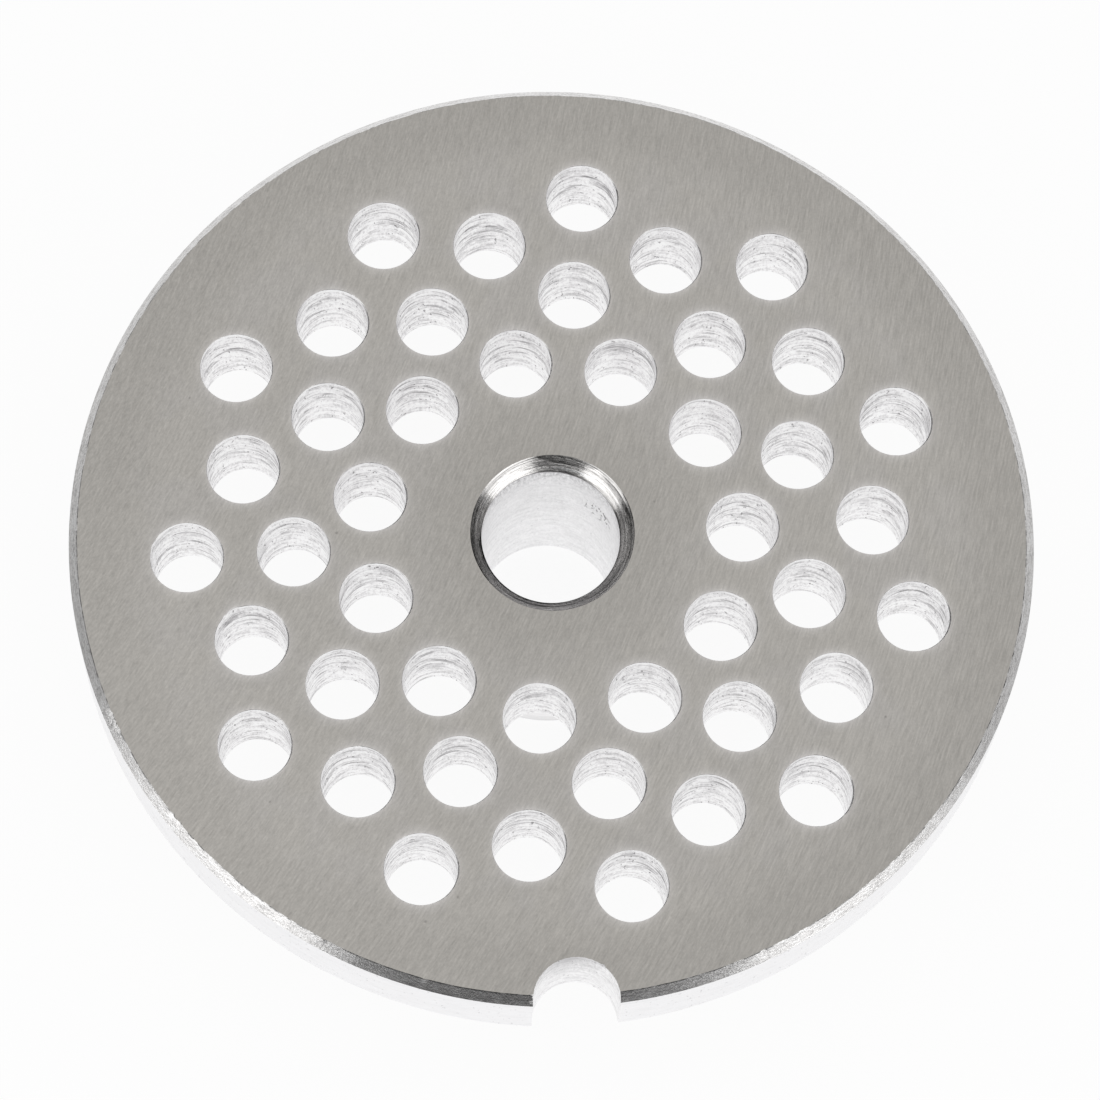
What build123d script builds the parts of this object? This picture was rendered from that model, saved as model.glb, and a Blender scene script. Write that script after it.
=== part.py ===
from build123d import *
import math
import os

# Meat grinder plate: a steel disc drilled with rings of feed holes, turned in
# one piece with a hub on its back. The cutting face looks up, +Z.
# Millimetres and degrees. The origin is on the rim's axis, in the end face of
# the hub, and the key notch in the rim points along -Y.

# Disc
PLATE_DIAMETER = 82.0
PLATE_THICKNESS = 8.8
RIM_CHAMFER_WIDTH = 0.76
RIM_CHAMFER_HEIGHT = 0.88

# Hub on the back of the disc
HUB_DIAMETER = 20.8
HUB_HEIGHT = 12.7
HUB_ROOT_FILLET = 1.0
HUB_END_CHAMFER = 0.5

# Bore for the feed screw's stud. Its axis lies a little off the rim's axis,
# while the countersink round its mouth is true to the rim.
BORE_DIAMETER = 11.8
BORE_SHIFT_X = -0.13
BORE_SHIFT_Y = -0.05
BORE_END_CHAMFER = 0.5
COUNTERSINK_WIDTH = 1.08
COUNTERSINK_ANGLE = 90.0

# Feed holes: rings of equal count, each turned half a pitch from the one
# inside it. The drilled pattern as a whole sits a little off the rim's axis.
FEED_HOLE_DIAMETER = 6.15
FEED_HOLES_PER_RING = 11
FIRST_HOLE_ANGLE = 0.9
HUB_LAND = 2.56
RING_STEPS = (6.07, 5.02, 4.0)
RIM_LAND = 1.5
PATTERN_SHIFT_X = 0.11
PATTERN_SHIFT_Y = -0.45

# Half-round key notch in the rim
NOTCH_DIAMETER = 7.26
NOTCH_INSET = 0.36
NOTCH_ANGLE = -90.0

# Small distance by which a cutter runs past the face that it cuts
CUTTER_OVERRUN = 1.0

plate_radius = PLATE_DIAMETER / 2
hub_radius = HUB_DIAMETER / 2
bore_radius = BORE_DIAMETER / 2
feed_hole_radius = FEED_HOLE_DIAMETER / 2
notch_radius = NOTCH_DIAMETER / 2

hub_end_z = 0.0
plate_back_z = hub_end_z + HUB_HEIGHT
cutting_face_z = plate_back_z + PLATE_THICKNESS


def turned_blank():
    """Disc and hub, turned from one bar: half a section spun about the axis."""
    back_corner_z = plate_back_z + RIM_CHAMFER_HEIGHT
    face_corner_z = cutting_face_z - RIM_CHAMFER_HEIGHT
    face_radius = plate_radius - RIM_CHAMFER_WIDTH
    outline = Polyline(
        (0, hub_end_z),
        (hub_radius - HUB_END_CHAMFER, hub_end_z),
        (hub_radius, hub_end_z + HUB_END_CHAMFER),
        (hub_radius, plate_back_z),
        (face_radius, plate_back_z),
        (plate_radius, back_corner_z),
        (plate_radius, face_corner_z),
        (face_radius, cutting_face_z),
        (0, cutting_face_z),
        close=True,
    )
    section = make_face(Plane.XZ * outline)
    blank = revolve(section, Axis.Z)
    root = blank.edges().filter_by(GeomType.CIRCLE).filter_by(
        lambda edge: math.isclose(edge.radius, hub_radius, abs_tol=1e-6)
        and math.isclose(edge.center().Z, plate_back_z, abs_tol=1e-6)
    )
    return fillet(root, HUB_ROOT_FILLET)


def upright_cylinder(radius, bottom_z, top_z):
    """Cylinder on the Z axis between two heights."""
    cylinder = Cylinder(radius, top_z - bottom_z, align=(Align.CENTER, Align.CENTER, Align.MIN))
    return Pos(0, 0, bottom_z) * cylinder


def upright_cone(bottom_radius, top_radius, bottom_z, top_z):
    """Frustum on the Z axis between two heights."""
    cone = Cone(bottom_radius, top_radius, top_z - bottom_z, align=(Align.CENTER, Align.CENTER, Align.MIN))
    return Pos(0, 0, bottom_z) * cone


def bore_cutter():
    """Through bore, with the small chamfer at its lower end."""
    bore = upright_cylinder(bore_radius, hub_end_z - CUTTER_OVERRUN, cutting_face_z + CUTTER_OVERRUN)
    end_chamfer = upright_cone(
        bore_radius + BORE_END_CHAMFER + CUTTER_OVERRUN,
        bore_radius,
        hub_end_z - CUTTER_OVERRUN,
        hub_end_z + BORE_END_CHAMFER,
    )
    return Pos(BORE_SHIFT_X, BORE_SHIFT_Y, 0) * (bore + end_chamfer)


def countersink_cutter():
    """Cone that opens the mouth of the bore towards the cutting face."""
    slope = math.tan(math.radians(COUNTERSINK_ANGLE / 2))
    mouth_radius = bore_radius + COUNTERSINK_WIDTH
    tip_z = cutting_face_z - mouth_radius / slope
    top_z = cutting_face_z + CUTTER_OVERRUN
    return upright_cone(0, (top_z - tip_z) * slope, tip_z, top_z)


def ring_radii():
    """Radii of the rings of feed holes, from the hub outwards.

    The first ring leaves HUB_LAND round the hub. A ring is drilled only where
    its holes leave RIM_LAND inside the rim.
    """
    pattern_shift = math.hypot(PATTERN_SHIFT_X, PATTERN_SHIFT_Y)
    largest_radius = plate_radius - RIM_LAND - feed_hole_radius - pattern_shift
    first_radius = hub_radius + HUB_LAND + feed_hole_radius
    radii = [first_radius + sum(RING_STEPS[:count]) for count in range(len(RING_STEPS) + 1)]
    return [radius for radius in radii if radius <= largest_radius]


def feed_hole_cutters():
    """Straight holes through the disc, on alternating rings."""
    hole = upright_cylinder(
        feed_hole_radius,
        plate_back_z - CUTTER_OVERRUN,
        cutting_face_z + CUTTER_OVERRUN,
    )
    half_pitch = 180.0 / FEED_HOLES_PER_RING
    cutters = []
    for number, radius in enumerate(ring_radii()):
        first_angle = FIRST_HOLE_ANGLE + (number % 2) * half_pitch
        ring = PolarLocations(radius, FEED_HOLES_PER_RING, start_angle=first_angle)
        cutters += [Pos(PATTERN_SHIFT_X, PATTERN_SHIFT_Y, 0) * place * hole for place in ring]
    return cutters


def notch_cutter():
    """Upright cylinder whose axis stands just inside the rim."""
    mill = upright_cylinder(
        notch_radius,
        plate_back_z - CUTTER_OVERRUN,
        cutting_face_z + CUTTER_OVERRUN,
    )
    return Rot(0, 0, NOTCH_ANGLE) * Pos(plate_radius - NOTCH_INSET, 0, 0) * mill


def grinder_plate():
    """The finished plate: the turned blank, bored, drilled and notched."""
    plate = turned_blank()
    plate -= countersink_cutter()
    plate -= bore_cutter()
    plate -= feed_hole_cutters()
    plate -= notch_cutter()
    return plate.solid()


os.makedirs("parts", exist_ok=True)
export_step(grinder_plate(), "parts/grinder_plate.step")
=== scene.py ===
import logging
import math
from abc import ABC, abstractmethod
from dataclasses import dataclass, field, replace
from enum import Enum
from typing import Any, Union

import bmesh
import bpy
import numpy as np
from mathutils import Matrix, Vector
from mathutils.geometry import delaunay_2d_cdt


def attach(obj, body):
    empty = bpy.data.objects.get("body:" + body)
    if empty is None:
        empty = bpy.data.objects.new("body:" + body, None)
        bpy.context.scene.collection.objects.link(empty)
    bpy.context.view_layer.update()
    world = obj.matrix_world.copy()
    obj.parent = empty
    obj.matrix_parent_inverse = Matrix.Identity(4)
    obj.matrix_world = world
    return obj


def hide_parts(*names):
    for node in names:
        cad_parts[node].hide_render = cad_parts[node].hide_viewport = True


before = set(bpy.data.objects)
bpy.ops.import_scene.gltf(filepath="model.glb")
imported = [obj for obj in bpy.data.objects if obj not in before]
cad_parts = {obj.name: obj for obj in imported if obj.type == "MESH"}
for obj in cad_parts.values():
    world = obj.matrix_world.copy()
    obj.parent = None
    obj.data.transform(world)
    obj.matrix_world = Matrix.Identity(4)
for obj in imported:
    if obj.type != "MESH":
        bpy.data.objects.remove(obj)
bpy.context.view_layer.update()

# Looks of the meat grinder plate. Lengths are millimetres until a mesh, a lamp
# or the camera is made, and MM turns them into metres. The plate's axis is Z,
# its cutting face looks up, and the key notch is on the -Y side.
MM = 0.001
FACE_HEIGHT = 21.5
BACK_HEIGHT = 12.7
FEED_HOLE_RADIUS = 3.075
FULL_TURN = 2 * math.pi
WEAR_AND_LIGHT_NAMES = ("grime", "rubbed", "burred")
WELD_STEP = 1e-5
SHEET_SNAP = 1e-7
SHARP_DEG = 14.0
SEED = 22
PHASES = 6.28
MEAN = 0.5

log = logging.getLogger("grinder_plate")
Number = Union[int, float, "Signal"]
Colour = tuple[float, float, float]
Point = tuple[float, float, float]
WHITE: Colour = (1.0, 1.0, 1.0)


class Zone(Enum):
    """Surfaces of the plate that were made or worn in different ways."""

    CUTTING_FACE = 0
    RIM_CHAMFER = 1
    RIM_WALL = 2
    NOTCH_WALL = 3
    HOLE_EDGE = 4
    HOLE_WALL = 5
    COUNTERSINK = 6
    BORE_WALL = 7
    BACK_FACE = 8
    HUB = 9


# ---------------------------------------------------------------- shader maths


class Signal:
    """A number in a node tree. Arithmetic on it adds Math nodes to the tree."""

    def __init__(self, recipe: "Recipe", socket: bpy.types.NodeSocket) -> None:
        """Wraps the output socket that carries the number."""
        self.recipe = recipe
        self.socket = socket

    def __add__(self, other: Number) -> "Signal":
        """Sum of the two."""
        return self.recipe.math("ADD", self, other)

    __radd__ = __add__

    def __sub__(self, other: Number) -> "Signal":
        """This less the other."""
        return self.recipe.math("SUBTRACT", self, other)

    def __rsub__(self, other: Number) -> "Signal":
        """The other less this."""
        return self.recipe.math("SUBTRACT", other, self)

    def __mul__(self, other: Number) -> "Signal":
        """Product of the two."""
        return self.recipe.math("MULTIPLY", self, other)

    __rmul__ = __mul__

    def __pow__(self, other: Number) -> "Signal":
        """This to the power of the other."""
        return self.recipe.math("POWER", self, other)

    def __abs__(self) -> "Signal":
        """Size of this, without its sign."""
        return self.recipe.math("ABSOLUTE", self)


@dataclass(frozen=True)
class Place:
    """Where a point of the surface is, in millimetres, as three signals."""

    x: Signal
    y: Signal
    z: Signal

    def radius(self) -> Signal:
        """Distance from the plate's axis."""
        return (self.x * self.x + self.y * self.y) ** 0.5


@dataclass(frozen=True)
class Grain:
    """A layer of noise.

    It has a, b and c features in a millimetre of its three directions, detail
    finer layers of that roughness, and lightens and lifts the surface.
    """

    a: float
    b: float
    c: float = 0.0
    start: float = 0.0
    detail: float = 2.0
    roughness: float = 0.5
    light: float = 0.0
    lift: float = 0.0


@dataclass(frozen=True)
class Step:
    """A smooth step: where it starts and ends, and its value on either side."""

    low: float
    high: float
    before: float = 0.0
    after: float = 1.0


class Recipe:
    """The node tree of a material or a world, with short ways to add to it."""

    def __init__(self, owner: Union[bpy.types.Material, bpy.types.World]) -> None:
        """Empties a node tree, and keeps it to add to.

        Args:
            owner: the material or the world that has the tree.
        """
        owner.use_nodes = True
        self.tree = owner.node_tree
        self.tree.nodes.clear()

    def node(self, kind: str, inputs: dict[Any, Any], **settings: Any) -> bpy.types.Node:
        """Adds one node.

        Args:
            kind: the node's type, such as "ShaderNodeMath".
            inputs: values or links of its sockets, by name or by number.
            settings: its properties, set first.

        Returns:
            The new node.
        """
        made = self.tree.nodes.new(kind)
        for key, value in settings.items():
            setattr(made, key, value)
        for key, value in inputs.items():
            source = value.socket if isinstance(value, Signal) else value
            if isinstance(source, bpy.types.NodeSocket):
                self.tree.links.new(source, made.inputs[key])
            else:
                made.inputs[key].default_value = source
        return made

    def read(self, made: bpy.types.Node, output: Union[int, str] = 0) -> Signal:
        """The number that one of a node's outputs gives."""
        return Signal(self, made.outputs[output])

    def math(self, operation: str, *values: Number) -> Signal:
        """Adds a Math node for an operation on values."""
        return self.read(self.node("ShaderNodeMath", dict(enumerate(values)), operation=operation))

    def place(self) -> Place:
        """Reads the surface's object coordinates.

        Returns:
            The coordinates, in millimetres.
        """
        source = self.node("ShaderNodeTexCoord", {}).outputs["Object"]
        split = self.node("ShaderNodeSeparateXYZ", {0: source})
        return Place(*(self.read(split, axis) * (1 / MM) for axis in "XYZ"))

    def vector(self, x: Number, y: Number, z: Number) -> bpy.types.NodeSocket:
        """Joins three numbers into a vector."""
        return self.node("ShaderNodeCombineXYZ", {0: x, 1: y, 2: z}).outputs[0]

    def noise(self, grain: Grain, a: Signal, b: Signal, c: Number = 0.0) -> Signal:
        """Fractal noise, about MEAN on average.

        Args:
            grain: the layer's scales and fineness.
            a: length in its first direction, in millimetres.
            b: length in its second direction.
            c: length in its third direction.

        Returns:
            The noise, from 0 to 1.
        """
        third = c * grain.c + grain.start if grain.start else c * grain.c
        inputs = {
            "Vector": self.vector(a * grain.a, b * grain.b, third),
            "Scale": 1.0,
            "Detail": grain.detail,
            "Roughness": grain.roughness,
        }
        return self.read(self.node("ShaderNodeTexNoise", inputs, noise_dimensions="3D"))

    def cells(self, x: Signal, y: Signal) -> tuple[Signal, Signal]:
        """Scattered points.

        Args:
            x: first coordinate, in cells.
            y: second coordinate.

        Returns:
            Distance from the nearest point, in cells, and a number from 0 to 1
            that is the same all over one cell.
        """
        inputs = {"Vector": self.vector(x, y, 0.0), "Scale": 1.0}
        made = self.node("ShaderNodeTexVoronoi", inputs, feature="F1")
        lot = self.node("ShaderNodeSeparateXYZ", {0: made.outputs["Color"]})
        return self.read(made, "Distance"), self.read(lot)

    def ramp(self, value: Signal, step: Step) -> Signal:
        """Takes a value up or down a smooth step.

        Args:
            value: what the step follows.
            step: the step.

        Returns:
            The step's height at that value.
        """
        inputs = {
            "Value": value,
            "From Min": step.low,
            "From Max": step.high,
            "To Min": step.before,
            "To Max": step.after,
        }
        return self.read(self.node("ShaderNodeMapRange", inputs, interpolation_type="SMOOTHSTEP"))

    def contour(self, noise: Signal, width: float, strength: float = 1.0) -> Signal:
        """A line where a noise crosses its middle value."""
        return self.ramp(abs(noise - MEAN), Step(0.0, width, strength, 0.0))

    def attribute(self, name: str) -> Signal:
        """A number that the mesh carries under this name."""
        made = self.node("ShaderNodeAttribute", {}, attribute_type="GEOMETRY", attribute_name=name)
        return self.read(made, "Fac")

    def tinted(self, colour: Colour, level: Number) -> bpy.types.NodeSocket:
        """A colour made lighter or darker by a level."""
        return self.node("ShaderNodeVectorMath", {0: colour, "Scale": level}, operation="SCALE").outputs[0]

    def blend(self, share: Number, first: Any, second: Any) -> bpy.types.NodeSocket:
        """Mixes two colours, with a share of the second from 0 to 1."""
        ends = [(*end, 1.0) if isinstance(end, tuple) else end for end in (first, second)]
        return self.node("ShaderNodeMix", {0: share, 6: ends[0], 7: ends[1]}, data_type="RGBA").outputs[2]

    def shaders(self, share: Number, first: bpy.types.Node, second: bpy.types.Node) -> bpy.types.Node:
        """Mixes two shaders, with a share of the second from 0 to 1."""
        return self.node("ShaderNodeMixShader", {0: share, 1: first.outputs[0], 2: second.outputs[0]})


# ------------------------------------------------------------------- finishes


@dataclass(frozen=True)
class Paint:
    """What a finish works out over the surface."""

    colour: bpy.types.NodeSocket
    roughness: Number
    height: Number


@dataclass(frozen=True)
class Steel(ABC):
    """Bare steel. Each finish below adds the marks of its own tool."""

    name: str
    tint: Colour
    roughness: float
    relief: float

    @abstractmethod
    def paint(self, r: Recipe, p: Place) -> Paint:
        """Works out the finish.

        Args:
            r: the material's recipe.
            p: where the surface is.

        Returns:
            Colour, roughness and height over the surface.
        """

    def material(self) -> bpy.types.Material:
        """Builds the material: the paint goes into one metallic Principled shader.

        Returns:
            The material.
        """
        made = bpy.data.materials.new(self.name)
        r = Recipe(made)
        paint = self.paint(r, r.place())
        relief = {"Strength": 1.0, "Distance": self.relief * MM, "Height": paint.height}
        inputs = {
            "Base Color": paint.colour,
            "Roughness": paint.roughness,
            "Metallic": 1.0,
            "Normal": r.node("ShaderNodeBump", relief).outputs[0],
        }
        shader = r.node("ShaderNodeBsdfPrincipled", inputs)
        r.node("ShaderNodeOutputMaterial", {"Surface": shader.outputs[0]})
        return made


@dataclass(frozen=True)
class GroundSteel(Steel):
    """Cutting face: fine, slightly curved grind lines that cross, and pits.

    The mesh carries a number which is 1 at the feed holes' edges, where meat and cleaning have polished the
    face. The light, cool halo that it gives round each hole is partly this polish and partly a painted
    highlight.
    """

    ground: float = 0.975
    cool_tint: Colour = (0.461, 0.4455, 0.430)
    line_x: float = 0.4035
    line_y: float = 0.9150
    fan: float = 0.00144
    bow: float = 0.00262
    contrast: float = 0.75
    fine: Grain = Grain(6.0, 0.45, detail=3.0, roughness=0.62, light=0.66, lift=0.6)
    fine_drift: float = 0.005
    crossing: Grain = Grain(4.2, 0.6, start=9.0, detail=3.0, roughness=0.6, light=0.25, lift=0.3)
    crossing_lean: float = 1.5 / 4.2
    broad: Grain = Grain(1.5, 0.16, start=4.0, detail=3.0, roughness=0.6, light=0.22, lift=0.5)
    broad_roughness: float = 0.12
    speck: Grain = Grain(4.6, 4.6, start=2.0, detail=3.0, roughness=0.75, light=0.45, lift=0.4)
    dash: Grain = Grain(5.4, 1.5, start=15.0, roughness=0.7, light=0.42)
    dash_lean: float = -0.5 / 5.4
    dash_drift: float = -0.006
    cloud: Grain = Grain(0.085, 0.085, start=1.0, detail=3.0, roughness=0.55, light=0.07)
    hair: Grain = Grain(1.7, 0.05, start=12.0, light=0.14)
    hair_width: float = 0.022
    hair_dark: float = 0.3
    scratch: Grain = Grain(0.9, 0.035, start=21.0, detail=1.0, light=0.08)
    scratch_width: float = 0.0035
    scratched: Grain = Grain(0.35, 0.09, start=33.0, detail=1.0)
    scratched_from: Step = Step(0.54, 0.62)
    swept_in: Step = Step(8.0, 15.0)
    swept_out: Step = Step(33.0, 38.0, 1.0, 0.0)
    swept_light: float = 0.09
    polish_and_sheen_light: float = 0.27
    polish_and_sheen_cool: float = 0.9
    stain: Grain = Grain(0.16, 0.16, start=6.0)
    stain_from: Step = Step(0.42, 0.6, 0.0, 0.35)
    painted_light_x: float = -0.82
    painted_light_y: float = -0.574
    painted_light_from: Step = Step(22.0, 42.0, 0.0, 0.09)
    pit_cells: float = 0.33
    pit_shape: Step = Step(0.015, 0.06, 1.0, 0.0)
    pit_chance: Step = Step(0.55, 0.9)
    pit_dark: float = 0.2
    pit_depth: float = 2.0

    def bent(self, p: Place) -> tuple[Signal, Signal]:
        """Lengths across and along the curved grind lines.

        Across them it is u = w + fan*w*s + bow*s*s, where s runs along their
        mean direction and w across it.

        Args:
            p: where the surface is.

        Returns:
            The lengths u and s.
        """
        s = p.x * self.line_x + p.y * self.line_y
        w = p.x * self.line_y - p.y * self.line_x
        return w + w * s * self.fan + s * s * self.bow, s

    def paint(self, r: Recipe, p: Place) -> Paint:
        """Noise that is fine in u and long in s gives lines, and some cross them.

        Args:
            r: the material's recipe.
            p: where the surface is.

        Returns:
            Colour, roughness and height.
        """
        u, s = self.bent(p)
        fine, broad = r.noise(self.fine, u, s), r.noise(self.broad, u, s)
        crossing = r.noise(self.crossing, u + s * self.crossing_lean, s)
        dash = r.noise(self.dash, u + s * self.dash_lean, s)
        speck, cloud = r.noise(self.speck, p.x, p.y), r.noise(self.cloud, p.x, p.y)
        hair = r.contour(r.noise(self.hair, u, s), self.hair_width)
        scratch = r.contour(r.noise(self.scratch, u, s), self.scratch_width)
        scratch = scratch * r.ramp(r.noise(self.scratched, u, s), self.scratched_from)
        rubbed = r.attribute("rubbed")
        radius = p.radius()
        swept = r.ramp(radius, self.swept_in) * r.ramp(radius, self.swept_out)
        distance, lot = r.cells(p.x * self.pit_cells, p.y * self.pit_cells)
        pit = r.ramp(distance, self.pit_shape) * r.ramp(lot, self.pit_chance)
        lines = (
            (fine - MEAN) * (p.x * self.fine_drift + self.fine.light)
            + (dash - MEAN) * (p.x * self.dash_drift + self.dash.light)
            + (crossing - MEAN) * self.crossing.light
            + (broad - MEAN) * self.broad.light
            + (speck - MEAN) * self.speck.light
        )
        level = (
            lines * self.contrast
            + self.ground
            + (cloud - MEAN) * self.cloud.light
            + swept * self.swept_light
            # Polish and painted highlight: the face lighter in a halo round each feed hole.
            + rubbed * self.polish_and_sheen_light
            + hair * (broad - self.hair_dark) * self.hair.light
            # Painted light: the face lighter towards its corner at -X, -Y.
            + r.ramp(p.x * self.painted_light_x + p.y * self.painted_light_y, self.painted_light_from)
            + scratch * self.scratch.light
            - pit * self.pit_dark
        )
        height = (
            fine * self.fine.lift
            + crossing * self.crossing.lift
            + speck * self.speck.lift
            + broad * self.broad.lift
            - pit * self.pit_depth
        )
        stained = swept * r.ramp(r.noise(self.stain, p.x, p.y), self.stain_from)
        # The halo's cool tint is part of its painted highlight; the stains are real.
        cool = r.math("MINIMUM", rubbed * self.polish_and_sheen_cool + stained, 1.0)
        colour = r.blend(cool, r.tinted(self.tint, level), r.tinted(self.cool_tint, level))
        roughness = (broad - MEAN) * self.broad_roughness + pit * self.pit_dark + self.roughness
        return Paint(colour, roughness, height)


@dataclass(frozen=True)
class TurnedSteel(Steel):
    """Chamfers, back and hub: turned, with a bright grain and faint rings.

    The mesh carries two numbers which are 1 where an edge has a bright burr: a real burr or polish, whose
    near-white colour is a painted glint. A third is 1 where an edge is darker: grime, and painted shade
    where it comes from the key notch's wall.
    """

    grain: float = 0.3
    rings: float = 0.1
    ring_scale: float = 3.0
    spots: float = 0.0
    dashes: float = 0.0
    edge_line: float = 0.0
    ring: Grain = Grain(0.05, 0.05, detail=3.0, roughness=0.6)
    fine: Grain = Grain(5.0, 5.0, 5.0, detail=3.0, roughness=0.65)
    least_grain: float = 0.05
    coarse: Grain = Grain(1.1, 1.1, 1.1, light=0.08)
    coarse_roughness: float = 0.1
    dash: Grain = Grain(0.8, 0.8, 2.3, 3.0, 3.0, 0.7, lift=0.6)
    spot_from: Step = Step(0.58, 0.70)
    grime_and_shade_dark: float = 0.3
    edge_rise: Step = Step(FACE_HEIGHT - 0.13, FACE_HEIGHT - 0.03)
    edge_patch: Step = Step(0.40, 0.55)
    burr: Grain = Grain(2.6, 2.6, 2.6, 7.0, 1.0, lift=2.0)
    burr_from: Step = Step(0.50, 0.58)
    glint_tint: Colour = (0.97, 0.96, 0.95)
    burr_roughness: float = 0.3

    def paint(self, r: Recipe, p: Place) -> Paint:
        """Grain is even noise; rings and dashes are fine in radius less height.

        Args:
            r: the material's recipe.
            p: where the surface is.

        Returns:
            Colour, roughness and height.
        """
        across = p.radius() - p.z
        grain, coarse = r.noise(self.fine, p.x, p.y, p.z), r.noise(self.coarse, p.x, p.y, p.z)
        rings = r.noise(replace(self.ring, c=self.ring_scale), p.x, p.y, across)
        dash = r.noise(self.dash, p.x, p.y, across)
        # Darker where the mesh says: painted shade at the key notch's ends, and darker at the hub's foot.
        dark = r.ramp(grain, self.spot_from) * self.spots + r.attribute("grime") * self.grime_and_shade_dark
        edge = r.ramp(p.z, self.edge_rise) * r.ramp(coarse, self.edge_patch) * self.edge_line
        bright = r.math("MAXIMUM", r.attribute("rubbed"), r.attribute("burred"))
        burr = r.ramp(r.noise(self.burr, p.x, p.y, p.z), self.burr_from) * bright
        level = (
            (grain - MEAN) * self.grain
            + 1.0
            + (rings - MEAN) * self.rings
            + (dash - MEAN) * self.dashes
            + (coarse - MEAN) * self.coarse.light
            - dark
            - edge
        )
        ring_lift = self.rings / max(self.grain, self.least_grain)
        height = grain + rings * ring_lift + dash * (self.dashes * self.dash.lift) + burr * self.burr.lift
        roughness = (coarse - MEAN) * self.coarse_roughness + burr * self.burr_roughness + self.roughness
        # Painted glint: the burrs' near-white tint stands in for their facets reflecting the softboxes.
        return Paint(r.blend(burr, r.tinted(self.tint, level), self.glint_tint), roughness, height)


@dataclass(frozen=True)
class Stain:
    """A dark film on part of a ring: its middle, its full half, where it ends."""

    middle_deg: float
    full_deg: float
    end_deg: float
    depth: float

    def film(self, r: Recipe, p: Place, radius: float) -> Signal:
        """Smooth step of the distance along the middle's direction.

        Args:
            r: the material's recipe.
            p: where the surface is.
            radius: the ring's mean radius.

        Returns:
            The film's depth over the ring.
        """
        middle, full, end = (math.radians(v) for v in (self.middle_deg, self.full_deg, self.end_deg))
        along = p.x * (math.cos(middle) / radius) + p.y * (math.sin(middle) / radius)
        return r.ramp(along, Step(math.cos(end), math.cos(full), 0.0, self.depth))


@dataclass(frozen=True)
class CountersunkSteel(Steel):
    """Countersink: sharp concentric tool lines round the bore's mouth.

    The mesh carries a number which is 1 in the corner at its foot: a thin line of painted shade.
    """

    ground: float = 0.86
    line: Grain = Grain(0.09, 0.09, 4.5, roughness=0.8, light=2.4)
    bright: Grain = Grain(0.12, 0.12, 4.95, 5.0, 3.0, 0.7)
    bright_from: Step = Step(0.53, 0.62, 0.0, 0.4)
    fleck: Grain = Grain(1.8, 1.8, 6.5, roughness=0.75, light=0.8)
    fleck_roughness: float = 0.2
    grime_and_shade_dark: float = 0.45
    ring_radius: float = 6.5
    stains: tuple[Stain, ...] = (
        Stain(238.0, 52.0, 70.0, 0.27),
        Stain(185.0, 16.0, 30.0, 0.36),
        Stain(-18.0, 30.0, 48.0, 0.19),
        Stain(29.0, 4.0, 15.0, 0.32),
        Stain(76.0, 7.0, 15.0, 0.42),
    )

    def paint(self, r: Recipe, p: Place) -> Paint:
        """Tool lines are noise of the height, which on a cone is the radius.

        Args:
            r: the material's recipe.
            p: where the surface is.

        Returns:
            Colour, roughness and height.
        """
        line, fleck = r.noise(self.line, p.x, p.y, p.z), r.noise(self.fleck, p.x, p.y, p.z)
        level = (
            (line - MEAN) * self.line.light
            + self.ground
            + (fleck - MEAN) * self.fleck.light
            + r.ramp(r.noise(self.bright, p.x, p.y, p.z), self.bright_from)
            # Painted shade: a thin dark line in the corner at the countersink's foot.
            - r.attribute("grime") * self.grime_and_shade_dark
            - sum(stain.film(r, p, self.ring_radius) for stain in self.stains)
        )
        roughness = (fleck - MEAN) * self.fleck_roughness + self.roughness
        return Paint(r.tinted(self.tint, level), roughness, line + fleck)


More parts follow.
